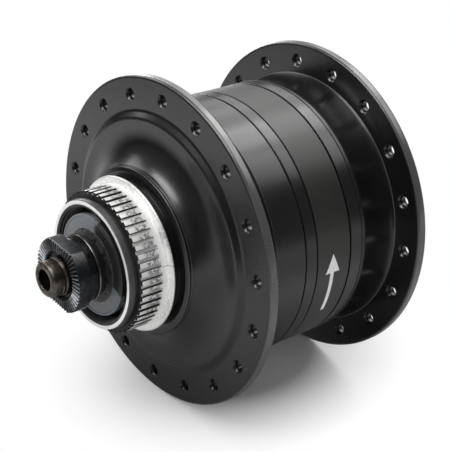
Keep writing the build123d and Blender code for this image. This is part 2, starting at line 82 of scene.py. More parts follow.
def cut_thread(bm, radius, pitch, depth, start, turns, steps=72):
    """Helical ridge on a cylinder: depth is how far its crest stands off, inwards if negative."""
    foot = radius - 0.03 * (1 if depth > 0 else -1)
    section = [
        bm.verts.new((foot * mm, (start - pitch * 0.42) * mm, 0)),
        bm.verts.new(((radius + depth) * mm, (start - pitch * 0.08) * mm, 0)),
        bm.verts.new(((radius + depth) * mm, (start + pitch * 0.08) * mm, 0)),
        bm.verts.new((foot * mm, (start + pitch * 0.42) * mm, 0)),
    ]
    cap = bm.faces.new(section)
    count = int(steps * turns)
    before = set(bm.faces)
    bmesh.ops.spin(bm, geom=[cap] + section + list(cap.edges), cent=(0, 0, 0), axis=(0, 1, 0),
                   dvec=(0, pitch * mm / steps, 0), angle=2 * pi * turns, steps=count,
                   use_merge=False, use_duplicate=False)
    bmesh.ops.recalc_face_normals(bm, faces=[cap] + [face for face in bm.faces if face not in before])


def stand(name, bm, finishes=()):
    """Makes the bmesh an object at the origin, with its materials."""
    mesh = bpy.data.meshes.new(name)
    bm.to_mesh(mesh)
    bm.free()
    for finish in finishes:
        mesh.materials.append(finish)
    thing = bpy.data.objects.new(name, mesh)
    scene.collection.objects.link(thing)
    return thing


def settle(name, bm, finishes, body, replaced, sharp=38):
    """Makes the bmesh a piece of the hub: shading, materials, the body it moves with and what it stands for."""
    piece = stand(name, bm, finishes)
    piece.data.shade_smooth()
    piece.data.set_sharp_from_angle(angle=radians(sharp))
    shading = piece.modifiers.new("even_shading", "WEIGHTED_NORMAL")
    shading.keep_sharp = True
    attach(piece, body)
    if replaced:
        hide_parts(*replaced)


def feed(tree, socket, value):
    """Gives a socket a plain value or another node's output."""
    if isinstance(value, bpy.types.NodeSocket):
        tree.links.new(value, socket)
    else:
        socket.default_value = value


def set_sockets(tree, node, **sockets):
    """Feeds the named sockets of a node, with _ for each space in a name."""
    for key, value in sockets.items():
        feed(tree, node.inputs[key.replace("_", " ")], value)


def put(tree, kind, settings=None, **sockets):
    """Adds a node with its settings and feeds its named sockets."""
    node = tree.nodes.new(kind)
    for key, value in (settings or {}).items():
        setattr(node, key, value)
    set_sockets(tree, node, **sockets)
    return node


def math_of(tree, operation, *terms):
    """Math node of the operation, from numbers or outputs."""
    node = put(tree, "ShaderNodeMath", {"operation": operation})
    for socket, term in zip(node.inputs, terms):
        feed(tree, socket, term)
    return node.outputs[0]


def times(tree, first, second):
    """Product of two numbers or outputs."""
    return math_of(tree, "MULTIPLY", first, second)


def plus(tree, first, second):
    """Sum of two numbers or outputs."""
    return math_of(tree, "ADD", first, second)


def minus(tree, first, second):
    """Difference of two numbers or outputs."""
    return math_of(tree, "SUBTRACT", first, second)


def root_of_squares(tree, first, second):
    """Length of the long side over two sides at a right angle."""
    return math_of(tree, "SQRT", plus(tree, times(tree, first, first), times(tree, second, second)))


def blend_of(tree, factor, first, second):
    """Colour mix of two colours or outputs."""
    node = put(tree, "ShaderNodeMix", {"data_type": "RGBA"})
    for index, term in ((0, factor), (6, first), (7, second)):
        feed(tree, node.inputs[index], term)
    return node.outputs[2]


def between(tree, value, low, high, out_low=0.0, out_high=1.0, smooth=True):
    """Value moved from one range to another, with soft ends."""
    node = put(tree, "ShaderNodeMapRange", {"interpolation_type": "SMOOTHSTEP" if smooth else "LINEAR"},
               Value=value, From_Min=low, From_Max=high, To_Min=out_low, To_Max=out_high)
    return node.outputs[0]


def object_place(tree):
    """Place on the piece, in metres."""
    return put(tree, "ShaderNodeTexCoord").outputs["Object"]


def place_parts(tree, place):
    """The three parts of a place."""
    return put(tree, "ShaderNodeSeparateXYZ", None, Vector=place).outputs


def off_axis(tree, parts):
    """Distance from the wheel axis."""
    return root_of_squares(tree, parts[0], parts[2])


def noise_at(tree, place, **values):
    """Noise, mostly between 0.3 and 0.7."""
    return put(tree, "ShaderNodeTexNoise", None, Vector=place, **values).outputs["Fac"]


def start_group(name, result, **inputs):
    """Empty node group with named numbers as inputs and one as its result."""
    group = bpy.data.node_groups.new(name, "ShaderNodeTree")
    for label, default in inputs.items():
        socket = group.interface.new_socket(label.replace("_", " "), in_out="INPUT",
                                            socket_type="NodeSocketFloat")
        socket.default_value = default
    group.interface.new_socket(result, in_out="OUTPUT", socket_type="NodeSocketFloat")
    given = group.nodes.new("NodeGroupInput").outputs
    return group, given, group.nodes.new("NodeGroupOutput").inputs[0]


def use_group(tree, group, **values):
    """Places a node group with its own values and gives its result."""
    return put(tree, "ShaderNodeGroup", {"node_tree": group}, **values).outputs[0]


def start_finish(name, **shader):
    """New material whose Principled shader has these plain values."""
    finish = bpy.data.materials.new(name)
    finish.use_nodes = True
    surface = finish.node_tree.nodes["Principled BSDF"]
    set_sockets(finish.node_tree, surface, **shader)
    return finish, finish.node_tree, surface


def raise_surface(tree, surface, height, distance, strength):
    """Bump from a height output, in metres at full height."""
    bump = put(tree, "ShaderNodeBump", None, Height=height, Distance=distance, Strength=strength)
    set_sockets(tree, surface, Normal=bump.outputs["Normal"])


# Turning marks: fine rings around the wheel axis, uneven in width, as a lathe tool leaves them.
turning_marks, given, result = start_group("turning_marks", "Rings", Per_Metre=9000.0)
parts = place_parts(turning_marks, object_place(turning_marks))
along = put(turning_marks, "ShaderNodeCombineXYZ", None, X=off_axis(turning_marks, parts),
            Y=parts[1]).outputs[0]
turning_marks.links.new(noise_at(turning_marks, along, Scale=given["Per Metre"], Detail=3.0), result)


def lathe_marks(tree, per_metre):
    """Rings of this fineness."""
    return use_group(tree, turning_marks, Per_Metre=per_metre)


# Grime: soft patches where dirt and old grease have stayed, with a fine broken edge.
grime, given, result = start_group("grime", "Mask", Scale=120.0, Cover=0.5, Edge=0.12)
patches = noise_at(grime, object_place(grime), Scale=given["Scale"], Detail=7.0, Roughness=0.66,
                   Distortion=0.4)
middle = minus(grime, 1.0, given["Cover"])
edge_low = minus(grime, middle, given["Edge"])
edge_high = plus(grime, middle, given["Edge"])
grime.links.new(between(grime, patches, edge_low, edge_high), result)


def dirt_mask(tree, scale, cover, edge):
    """Patches of this fineness, over this share of the surface, with an edge of this softness."""
    return use_group(tree, grime, Scale=scale, Cover=cover, Edge=edge)


# Edge line: a thin soft circle around the wheel axis at one radius and place, which the shell paints lighter: a
# rubbed flange rim, or a painted highlight line along an edge or groove.
edge_line, given, result = start_group("edge_line", "Mask", Radius=0.01, Place=0.0, Width=0.0003)
place = object_place(edge_line)
parts = place_parts(edge_line, place)
off_radius = minus(edge_line, off_axis(edge_line, parts), given["Radius"])
off_place = minus(edge_line, parts[1], given["Place"])
away = root_of_squares(edge_line, off_radius, off_place)
rough_edge = noise_at(edge_line, place, Scale=700.0, Detail=4.0)
reach = times(edge_line, given["Width"], plus(edge_line, rough_edge, 0.5))
edge_line.links.new(between(edge_line, away, 0.0, reach, 1.0, 0.0), result)

axle_steel, tree, surface = start_finish("axle_steel", Metallic=1.0)
rust = dirt_mask(tree, 260.0, 0.52, 0.1)
oil = dirt_mask(tree, 90.0, 0.5, 0.2)
marks = lathe_marks(tree, 5200.0)
bare = blend_of(tree, marks, (0.16, 0.155, 0.145, 1), (0.30, 0.295, 0.28, 1))
stained = blend_of(tree, rust, bare, (0.105, 0.082, 0.062, 1))
set_sockets(tree, surface, Base_Color=blend_of(tree, times(tree, oil, 0.7), stained, (0.05, 0.04, 0.035, 1)),
            Roughness=between(tree, oil, 0.0, 1.0, 0.42, 0.24))
raise_surface(tree, surface, plus(tree, times(tree, rust, 0.8), marks), 0.00003, 0.6)

on_axle = 5.02  # bore of all that is screwed or slid on the axle
axle_shape = turn([(2.75, -54.0, 0.35), (4.7, -54.0, 1.0), (4.7, -50.0, 0), (5.0, -50.0, 0.1),
                   (5.0, -27.62, 0.1), (7.0, -27.62, 0.3), (7.0, -8.0, 0), (11.0, -8.0, 0.3),
                   (11.0, -4.0, 0.2), (7.0, -4.0, 0), (7.0, 33.32, 0.3), (5.0, 33.32, 0), (5.0, 50.0, 0.1),
                   (4.5, 50.0, 0), (4.5, 54.0, 0.9), (2.75, 54.0, 0.35)], steps=96)
cut_thread(axle_shape, 4.72, 1.0, 0.16, -50.9, 1.8)
cut_thread(axle_shape, 4.52, 1.0, 0.16, 50.1, 2.5)
settle("hollow_axle", axle_shape, [axle_steel], "axle_assembly", ["axle"])


# Cones.
# Hardened steel cones screwed on the axle from both ends. Each carries the inner race of its bearing, and its
# neck comes out through the seal, black with old grease.
def facing(side, corners):
    """The corners with their places counted outwards on one side: -1 for the disc side, 1 for the other."""
    return [(radius, side * place, rounding) for radius, place, rounding in corners]


black_steel, tree, surface = start_finish("black_steel", Metallic=0.85)
greasy = dirt_mask(tree, 150.0, 0.5, 0.2)
marks = lathe_marks(tree, 6000.0)
set_sockets(tree, surface, Base_Color=blend_of(tree, greasy, (0.070, 0.075, 0.082, 1),
                                               (0.018, 0.017, 0.016, 1)),
            Roughness=between(tree, greasy, 0.0, 1.0, 0.42, 0.22))
raise_surface(tree, surface, plus(tree, marks, greasy), 0.00002, 0.5)

for side, balls, name in ((-1, 30.22, "disc_side"), (1, 35.92, "connector_side")):
    cone_shape = turn(facing(side, (
        (on_axle, balls - 1.6, 0.2), (6.35, balls - 1.6, 0.3), (6.35, balls + 0.587, 0),
        (8.61, balls + 2.85, 0.15), (8.61, balls + 4.25, 0.2), (7.6, balls + 4.25, 0.1), (7.6, 42.6, 0.25),
        (on_axle, 42.6, 0.1))), steps=96)
    settle("cone_" + name + "_piece", cone_shape, [black_steel], "axle_assembly", ["cone_" + name])


# Dust seals.
# A moulded rubber disc grips each cone's neck and turns its flat grey ring to the weather. Inside the ring it
# rises to a thin lip on the neck, where grease and road dirt have made it black and shiny.
seal_rubber, tree, surface = start_finish("seal_rubber", Metallic=0.0, Specular_IOR_Level=0.6)
# Towards this side, across the ring, the rubber is painted near black: grease, and the painted shadow of the
# nut.
grease_and_nut_shadow_side = (0.788, 0.616)
worn = dirt_mask(tree, 210.0, 0.46, 0.14)
marks = lathe_marks(tree, 3500.0)
place = object_place(tree)
parts = place_parts(tree, place)
blot = noise_at(tree, place, Scale=420.0, Detail=6.0, Roughness=0.6)
radius = off_axis(tree, parts)
to_side = math_of(tree, "DIVIDE", plus(tree, times(tree, parts[0], grease_and_nut_shadow_side[0]),
                                       times(tree, parts[2], grease_and_nut_shadow_side[1])), radius)
reach = plus(tree, to_side, times(tree, minus(tree, blot, 0.5), 0.35))
grease_and_nut_shadow = between(tree, reach, 0.64, 0.70)
# Higher up the ring the rubber is painted lighter: painted light on its top.
painted_top_light = between(tree, parts[2], -0.004, 0.008)
wiped = blend_of(tree, worn, (0.130, 0.142, 0.154, 1), (0.100, 0.110, 0.119, 1))
rubber = blend_of(tree, painted_top_light, wiped, (0.165, 0.180, 0.192, 1))
set_sockets(tree, surface, Base_Color=blend_of(tree, grease_and_nut_shadow, rubber, (0.012, 0.012, 0.012, 1)),
            Roughness=between(tree, worn, 0.0, 1.0, 0.48, 0.36))
raise_surface(tree, surface, marks, 0.00003, 0.5)

old_grease, tree, surface = start_finish("old_grease", Metallic=0.0)
wet = dirt_mask(tree, 330.0, 0.5, 0.1)
set_sockets(tree, surface, Base_Color=blend_of(tree, wet, (0.012, 0.011, 0.010, 1), (0.030, 0.029, 0.028, 1)),
            Roughness=between(tree, wet, 0.0, 1.0, 0.22, 0.55))
raise_surface(tree, surface, wet, 0.0002, 0.8)

for side, face, name in ((-1, 39.95, "disc_side"), (1, 42.0, "connector_side")):
    seal_shape = turn(facing(side, (
        (7.62, face - 1.5, 0.2), (13.5, face - 1.5, 0.3), (13.5, face, 0.25), (12.9, face, 0),
        (12.75, face - 0.12, 0), (12.6, face, 0), (9.9, face, 0.1), (9.65, face + 0.25, 0.1),
        (8.4, face + 0.35, 0.1), (7.62, face + 0.6, 0.1))))
    for part in seal_shape.faces:
        middle = part.calc_center_median()
        if sqrt(middle.x ** 2 + middle.z ** 2) < 9.8 * mm:
            part.material_index = 1
    settle("dust_seal_" + name + "_piece", seal_shape, [seal_rubber, old_grease], "axle_assembly",
           ["dust_seal_" + name])


# Washers and spacer.
# A thin zinc-plated washer lies against each cone, and a black spacer fills the way out to the disc side
# locknut.
plated_steel, tree, surface = start_finish("plated_steel", Metallic=1.0)
spots = dirt_mask(tree, 300.0, 0.36, 0.1)
marks = lathe_marks(tree, 7000.0)
bright = blend_of(tree, marks, (0.15, 0.145, 0.13, 1), (0.27, 0.26, 0.24, 1))
set_sockets(tree, surface, Base_Color=blend_of(tree, spots, bright, (0.05, 0.046, 0.04, 1)),
            Roughness=between(tree, spots, 0.0, 1.0, 0.26, 0.5))
raise_surface(tree, surface, marks, 0.00001, 0.5)

for side, name in ((-1, "disc_side"), (1, "connector_side")):
    washer_shape = turn([(on_axle, side * 42.6, 0.1), (9.1, side * 42.6, 0.12), (9.1, side * 43.4, 0.25),
                         (on_axle, side * 43.4, 0.1)])
    settle("lock_washer_" + name + "_piece", washer_shape, [plated_steel], "axle_assembly",
           ["lock_washer_" + name])
spacer_shape = turn([(on_axle, -43.4, 0.1), (8.6, -43.4, 0.25), (8.6, -44.45, 0), (8.42, -44.6, 0),
                     (8.42, -44.9, 0), (8.6, -45.05, 0), (8.6, -46.0, 0.25), (on_axle, -46.0, 0.1)])
settle("nut_spacer", spacer_shape, [black_steel], "axle_assembly", ["locknut_spacer"])


# Locknuts.
# Black steel nuts with two flats for a cone wrench. Radial teeth pressed into the outer face bite the fork, and
# the edges of the flats and the crests of the teeth are rubbed towards bare metal.
def whole(bm):
    """All parts of a bmesh."""
    return bm.verts[:] + bm.edges[:] + bm.faces[:]


nut_steel, tree, surface = start_finish("nut_steel", Metallic=0.9)
place = object_place(tree)
rubbed = dirt_mask(tree, 420.0, 0.45, 0.12)
crest = dirt_mask(tree, 900.0, 0.5, 0.2)
parts = place_parts(tree, place)
outwards = math_of(tree, "ABSOLUTE", parts[1])
outer_end = between(tree, outwards, 0.04970, 0.04996)
worn = times(tree, outer_end, between(tree, crest, 0.0, 1.0, 0.35, 1.0))
radius = off_axis(tree, parts)
height = math_of(tree, "ABSOLUTE", parts[2])
corner_wear = times(tree, between(tree, height, 0.0056, 0.0082), between(tree, radius, 0.0096, 0.0098))
flat_edge = times(tree, between(tree, height, 0.00836, 0.00846), between(tree, outwards, 0.04930, 0.04950))
steel = blend_of(tree, rubbed, (0.027, 0.030, 0.035, 1), (0.062, 0.065, 0.070, 1))
cornered = blend_of(tree, times(tree, corner_wear, between(tree, crest, 0.0, 1.0, 0.6, 1.0)), steel,
                    (0.16, 0.165, 0.155, 1))
edged = blend_of(tree, times(tree, flat_edge, 0.8), cornered, (0.34, 0.34, 0.35, 1))
set_sockets(tree, surface, Base_Color=blend_of(tree, worn, edged, (0.29, 0.29, 0.30, 1)),
            Roughness=between(tree, rubbed, 0.0, 1.0, 0.40, 0.30))
raise_surface(tree, surface, rubbed, 0.00003, 0.5)

teeth_on_nut = 52
tooth_half = 0.80 * pi / teeth_on_nut
flat_half = 8.5
low, high = 6.42 * mm, 9.75 * mm
for side, name in ((-1, "disc_side"), (1, "connector_side")):
    nut_shape = turn(facing(side, (
        (on_axle, 46.0, 0.1), (9.9, 46.0, 0.3), (9.9, 49.35, 0.12), (9.6, 49.55, 0.1), (6.5, 49.55, 0),
        (6.3, 49.45, 0), (6.3, 48.6, 0.1), (5.9, 48.5, 0), (on_axle, 48.5, 0.1))))
    foot, crown = side * 49.52 * mm, side * 49.99 * mm
    ridge = [nut_shape.verts.new((reach * cos(angle), foot, reach * sin(angle))) for reach, angle in (
        (low, -tooth_half), (high, -tooth_half), (high, tooth_half), (low, tooth_half))]
    ridge += [nut_shape.verts.new((reach, crown, 0)) for reach in (low + 0.15 * mm, high - 0.1 * mm)]
    walls = [nut_shape.faces.new([ridge[corner] for corner in loop]) for loop in (
        (0, 3, 2, 1), (0, 1, 5, 4), (2, 3, 4, 5), (1, 2, 5), (3, 0, 4))]
    bmesh.ops.recalc_face_normals(nut_shape, faces=walls)
    ridge_parts = ridge + walls + list({edge for wall in walls for edge in wall.edges})
    bmesh.ops.spin(nut_shape, geom=ridge_parts, cent=(0, 0, 0), axis=(0, 1, 0), dvec=(0, 0, 0),
                   angle=2 * pi * (teeth_on_nut - 1) / teeth_on_nut, steps=teeth_on_nut - 1,
                   use_merge=False, use_duplicate=True)
    for flat in (-1, 1):
        cut = bmesh.ops.bisect_plane(nut_shape, geom=whole(nut_shape), dist=1e-7,
                                     plane_co=(0, 0, flat * flat_half * mm), plane_no=(0, 0, flat),
                                     clear_outer=True)
        rim = [part for part in cut["geom_cut"] if isinstance(part, bmesh.types.BMEdge)]
        bmesh.ops.holes_fill(nut_shape, edges=rim, sides=0)
        bmesh.ops.recalc_face_normals(nut_shape, faces=nut_shape.faces[:])
    settle("locknut_" + name + "_piece", nut_shape, [nut_steel], "axle_assembly", ["locknut_" + name],
           sharp=25)


# Hub shell.
# Two aluminium castings, turned and anodised black, pressed together over the yoke ring. Each has a flange with
# eighteen countersunk spoke holes, and the drum between them is waisted next to both flanges.
shell_black, tree, surface = start_finish("shell_black", IOR=1.62)
place = object_place(tree)
grain = noise_at(tree, place, Scale=2600.0, Detail=3.0)
handled = dirt_mask(tree, 38.0, 0.5, 0.3)
dust = put(tree, "ShaderNodeTexVoronoi", None, Vector=place, Scale=330.0, Randomness=1.0).outputs["Distance"]
fleck = noise_at(tree, place, Scale=90.0, Detail=2.0)
speck = times(tree, between(tree, dust, 0.05, 0.09, 1.0, 0.0), between(tree, fleck, 0.62, 0.70))
marks = lathe_marks(tree, 4200.0)
drum_r = 36.15
# Thin lighter rings: the flange rims are rubbed, and the boss, plateau edge, flange root and drum grooves get
# painted highlight lines.
wear_and_highlight_lines = 0.0
for radius, spot, width in (
        (44.75, -18.75, 0.35), (44.75, -16.25, 0.3), (44.75, 33.25, 0.3), (44.75, 35.75, 0.3),
        (36.5, 33.0, 0.25), (22.5, -24.9, 0.12), (22.4, -25.8, 0.2), (34.0, -20.3, 0.15),
        (drum_r, 17.0, 0.14), (drum_r, 4.78, 0.12), (drum_r, 21.1, 0.10), (drum_r, -8.6, 0.10)):
    ring_mask = use_group(tree, edge_line, Radius=radius * mm, Place=spot * mm, Width=width * mm)
    wear_and_highlight_lines = math_of(tree, "MAXIMUM", wear_and_highlight_lines, ring_mask)
parts = place_parts(tree, place)
radius = off_axis(tree, parts)
rim = between(tree, radius, 0.04478, 0.04492)
dyed = blend_of(tree, handled, (0.0045, 0.0046, 0.0050, 1), (0.0070, 0.0070, 0.0070, 1))
rubbed = blend_of(tree, times(tree, wear_and_highlight_lines, 0.35), dyed, (0.16, 0.16, 0.155, 1))
machined = blend_of(tree, rim, rubbed, (0.15, 0.15, 0.145, 1))
set_sockets(tree, surface, Base_Color=blend_of(tree, times(tree, speck, 0.5), machined,
                                               (0.45, 0.45, 0.43, 1)), Metallic=times(tree, rim, 0.6),
            Roughness=plus(tree, between(tree, handled, 0.0, 1.0, 0.20, 0.25), times(tree, grain, 0.05)))
raise_surface(tree, surface, plus(tree, grain, times(tree, marks, 0.4)), 0.00002, 0.35)

spoke_circle = 40.0
spoke_count = 18


def drill_spokes(bm, middle, turn_degrees):
    """Cuts eighteen spoke holes, flared at both faces of the flange, and gives the drilled bmesh."""
    half = ((2.2, 1.7), (1.9, 1.46), (1.62, 1.26), (1.42, 1.02), (1.3, 0.6))
    corners = [(radius, middle - depth, 0) for radius, depth in ((0, 1.7),) + half]
    corners += [(radius, middle + depth, 0) for radius, depth in half[::-1] + ((0, 1.7),)]
    drills = turn(corners, steps=24)
    bmesh.ops.remove_doubles(drills, verts=drills.verts[:], dist=1e-7)
    bmesh.ops.recalc_face_normals(drills, faces=drills.faces[:])
    bmesh.ops.translate(drills, verts=drills.verts[:], vec=(-spoke_circle * mm, 0, 0))
    bmesh.ops.rotate(drills, verts=drills.verts[:], cent=(0, 0, 0),
                     matrix=Matrix.Rotation(radians(turn_degrees), 3, "Y"))
    bmesh.ops.spin(drills, geom=whole(drills), cent=(0, 0, 0), axis=(0, 1, 0), dvec=(0, 0, 0),
                   angle=2 * pi * (spoke_count - 1) / spoke_count, steps=spoke_count - 1, use_merge=False,
                   use_duplicate=True)
    blank = stand("blank", bm)
    cutter = stand("drills", drills)
    cut = blank.modifiers.new("holes", "BOOLEAN")
    cut.operation = "DIFFERENCE"
    cut.solver = "EXACT"
    cut.object = cutter
    drilled = bmesh.new()
    drilled.from_mesh(blank.evaluated_get(bpy.context.evaluated_depsgraph_get()).to_mesh())
    for spare in (blank, cutter):
        spare_mesh = spare.data
        bpy.data.objects.remove(spare)
        bpy.data.meshes.remove(spare_mesh)
    return drilled


disc_half = turn([
    (36.5, -16.0, 0.12), (36.1, -15.55, 0), (35.62, -14.6, 0), (35.36, -13.2, 0), (35.36, -11.9, 0),
    (35.62, -10.4, 0), (35.95, -9.3, 0), (36.08, -8.75, 0), (drum_r, -8.6, 0), (drum_r, 0.8, 0.2),
    (34.23, 0.8, 0), (34.23, -6.0, 0), (33.11, -6.0, 0), (33.11, -15.8, 0.5), (15.4, -15.8, 0.3),
    (15.4, -20.0, 0), (16.62, -20.0, 0), (16.62, -29.0, 0), (19.0, -29.0, 0), (19.0, -26.3, 0.1),
    (21.3, -26.3, 0.15), (22.5, -25.85, 0.2), (22.5, -25.55, 0), (22.3, -25.4, 0), (22.3, -25.2, 0),
    (22.5, -25.05, 0.1), (22.6, -24.55, 0.15), (23.3, -23.75, 0), (24.3, -22.9, 0), (25.5, -22.05, 0),
    (27.0, -21.2, 0), (28.6, -20.62, 0), (30.2, -20.36, 0), (31.6, -20.3, 0),
    (34.0, -20.3, 0.5), (35.8, -19.0, 0.5), (44.5, -19.0, 0.3), (45.0, -18.5, 0.3), (45.0, -16.5, 0.3),
    (44.5, -16.0, 0.3),
], steps=180, rounding=4)
disc_half = drill_spokes(disc_half, -17.5, 6.93)
settle("hub_shell_disc_side", disc_half, [shell_black], "hub", ["shell_disc_side"],
       sharp=45)

connector_half = turn([(drum_r, 22.0, 0), (drum_r, 21.15, 0.05), (35.95, 21.05, 0), (35.95, 20.8, 0),
                       (drum_r, 20.7, 0.05), (drum_r, 17.05, 0.1), (35.5, 16.95, 0), (35.5, 16.5, 0),
                       (35.85, 16.5, 0), (35.85, 5.2, 0), (35.5, 5.2, 0), (35.5, 4.82, 0),
                       (drum_r, 4.74, 0.1), (drum_r, 1.2, 0.2), (34.23, 1.2, 0), (34.23, 22.0, 0),
                       (33.11, 22.0, 0), (33.11, 32.8, 0.5), (14.67, 32.8, 0.3), (14.67, 31.67, 0),
                       (9.79, 31.67, 0), (9.79, 33.07, 0), (13.07, 33.07, 0), (13.07, 40.2, 0),
                       (14.1, 40.2, 0), (14.1, 41.3, 0.25), (16.6, 41.3, 0.2), (17.0, 40.9, 0.2),
                       (17.45, 37.3, 2.4), (34.0, 37.3, 0.5), (35.8, 36.0, 0.5), (44.5, 36.0, 0.3),
                       (45.0, 35.5, 0.3), (45.0, 33.5, 0.3), (44.5, 33.0, 0.3), (36.5, 33.0, 0.12),
                       (36.1, 32.5, 0), (35.7, 31.4, 0), (35.35, 29.6, 0), (35.2, 27.5, 0), (35.35, 25.4, 0),
                       (35.75, 23.5, 0), (36.05, 22.4, 0)], steps=180, rounding=4)
connector_half = drill_spokes(connector_half, 34.5, 16.93)
settle("hub_shell_connector_side", connector_half, [shell_black], "hub", ["shell_connector_side"],
       sharp=45)

gasket_shape = turn([(34.23, 0.8, 0), (35.85, 0.8, 0.1), (35.85, 1.2, 0.1), (34.23, 1.2, 0)])
settle("seam_gasket_piece", gasket_shape, [seal_rubber], "hub", ["seam_gasket"])


# Printed band.
# A matt film around the drum carries the print: nothing but the white arrow for the way the wheel turns, with
# the rest left blank. The film lies in its own shallow recess.
label_film, tree, surface = start_finish("label_film", Metallic=0.0, Specular_IOR_Level=0.62)
film_r = 36.1
print_r = 36.115
place = object_place(tree)
weave = noise_at(tree, place, Scale=3200.0, Detail=2.0)
rubbed = dirt_mask(tree, 60.0, 0.45, 0.25)
set_sockets(tree, surface, Base_Color=blend_of(tree, rubbed, (0.015, 0.0147, 0.0125, 1),
                                               (0.021, 0.0205, 0.018, 1)),
            Roughness=plus(tree, 0.30, times(tree, weave, 0.10)))
raise_surface(tree, surface, weave, 0.00002, 0.4)
band_shape = turn([(35.86, 5.22, 0), (film_r, 5.22, 0.06), (film_r, 16.48, 0.06), (35.86, 16.48, 0)],
                  steps=180)
settle("label_band_piece", band_shape, [label_film], "hub", ["label_band"])

arrow_white, tree, surface = start_finish("arrow_white", Metallic=0.0, Roughness=0.45)
place = object_place(tree)
ink = noise_at(tree, place, Scale=1500.0, Detail=3.0)
set_sockets(tree, surface, Base_Color=blend_of(tree, between(tree, ink, 0.35, 0.65), (0.90, 0.90, 0.89, 1),
                                               (0.96, 0.96, 0.95, 1)))

arrow_outline = ((10.5, 6.1), (13.1, 0.6), (11.1, 0.75), (11.4, -12.2), (10.2, -12.2), (9.85, 0.75),
                 (8.15, 0.6))
arrow_shape = bmesh.new()
arrow_shape.faces.new([
    arrow_shape.verts.new((across * mm, 0, along * mm)) for across, along in arrow_outline])
for step in range(-24, 13):
    bmesh.ops.bisect_plane(arrow_shape, geom=whole(arrow_shape), dist=1e-8, plane_co=(0, 0, step * 0.5 * mm),
                           plane_no=(0, 0, 1))
for corner in arrow_shape.verts:
    angle = corner.co.z / (film_r * mm)
    corner.co = Vector((cos(angle) * print_r * mm, corner.co.x, sin(angle) * print_r * mm))
bmesh.ops.recalc_face_normals(arrow_shape, faces=arrow_shape.faces[:])
if arrow_shape.faces[:][0].normal.x < 0:
    bmesh.ops.reverse_faces(arrow_shape, faces=arrow_shape.faces[:])
settle("direction_arrow", arrow_shape, [arrow_white], "hub", [])


# Bearings.
# The races are ground steel cups in the shell and the sleeve. Nine polished balls roll in each, kept apart by a
# pressed retainer, behind a plated cover. All of it is hidden until the hub is taken apart.
def dress(finish, *names):
    """Gives solids from the drawing their finish."""
    for name in names:
        solids[name].data.materials.clear()
        solids[name].data.materials.append(finish)


polished_steel, tree, surface = start_finish("polished_steel", Metallic=1.0)
marks = lathe_marks(tree, 9000.0)
set_sockets(tree, surface, Base_Color=blend_of(tree, marks, (0.58, 0.58, 0.59, 1), (0.70, 0.70, 0.71, 1)),
            Roughness=between(tree, marks, 0.0, 1.0, 0.10, 0.22))
raise_surface(tree, surface, marks, 0.000004, 0.5)

ball_r = 2.38
ball_circle = 9.2
balls_per_side = 9
balls_shape = bmesh.new()
for place in (-30.22, 35.92):
    for index in range(balls_per_side):
        angle = 2 * pi * index / balls_per_side
        centre = Matrix.Translation((ball_circle * cos(angle) * mm, place * mm,
                                     -ball_circle * sin(angle) * mm))
        bmesh.ops.create_icosphere(balls_shape, subdivisions=3, radius=ball_r * mm, matrix=centre)
settle("bearing_ball_set", balls_shape, [polished_steel], "ball_cages", ["bearing_balls"])
dress(polished_steel, "bearing_cup_disc_side", "bearing_cup_connector_side")
dress(plated_steel, "ball_retainer_disc_side", "ball_retainer_connector_side", "dust_cover_disc_side",
      "dust_cover_connector_side", "stator_washer", "stator_nut")


# Lockring sleeve.
# A black anodised aluminium sleeve, pressed through the spline ring into the boss. Its front face is cut back
# to bare metal after anodising, and the thread for the rotor's lockring runs down its bore.
sleeve_black, tree, surface = start_finish("sleeve_black", Metallic=0.0, Specular_IOR_Level=0.5)
smeared = dirt_mask(tree, 170.0, 0.45, 0.2)
marks = lathe_marks(tree, 3000.0)
parts = place_parts(tree, object_place(tree))
radius = off_axis(tree, parts)
outside = blend_of(tree, smeared, (0.052, 0.051, 0.052, 1), (0.096, 0.093, 0.090, 1))
set_sockets(tree, surface, Base_Color=blend_of(tree, between(tree, radius, 0.0161, 0.0158), outside,
                                               (0.006, 0.006, 0.006, 1)),
            Roughness=between(tree, smeared, 0.0, 1.0, 0.36, 0.52))
raise_surface(tree, surface, plus(tree, marks, smeared), 0.00003, 0.5)

cut_face, tree, surface = start_finish("cut_face", Metallic=0.35)
marks = lathe_marks(tree, 6000.0)
set_sockets(tree, surface, Base_Color=blend_of(tree, marks, (0.95, 0.95, 0.94, 1), (0.99, 0.99, 0.98, 1)),
            Roughness=between(tree, marks, 0.0, 1.0, 0.28, 0.40))
raise_surface(tree, surface, marks, 0.00001, 0.5)

sleeve_shape = turn([
    (9.79, -20.0, 0), (16.6, -20.0, 0.1), (16.6, -37.5, 0), (16.15, -37.55, 0), (16.15, -38.2, 0.1),
    (17.0, -38.3, 0.05), (17.2, -38.55, 0.05), (17.2, -39.95, 0.12), (17.0, -40.25, 0), (16.05, -40.25, 0),
    (15.3, -39.85, 0), (15.25, -34.5, 0), (13.07, -34.5, 0), (13.07, -27.37, 0), (9.79, -27.37, 0),
])
for part in sleeve_shape.faces:
    if part.calc_center_median().y < -40.2 * mm:
        part.material_index = 1
cut_thread(sleeve_shape, 15.25, 0.75, -0.3, -39.5, 6.0, steps=120)
settle("lockring_sleeve_piece", sleeve_shape, [sleeve_black, cut_face], "hub", ["lockring_sleeve"])


# Rotor spline ring.
# The disc rotor slides on the teeth of this bare aluminium ring and stops against its shoulder. The teeth are
# milled and fretted grey where rotors have sat on them. Their groove flanks are painted near black, as painted
# shade in the grooves, their front ends are painted near black too, and the groove floors a little darker as
# painted shade.
def off_ray(tree, parts, degrees):
    """Distance from the plane that leaves the wheel axis at this angle above the horizon."""
    across = minus(tree, times(tree, parts[0], sin(radians(degrees))),
                   times(tree, parts[2], cos(radians(degrees))))
    return math_of(tree, "ABSOLUTE", across)


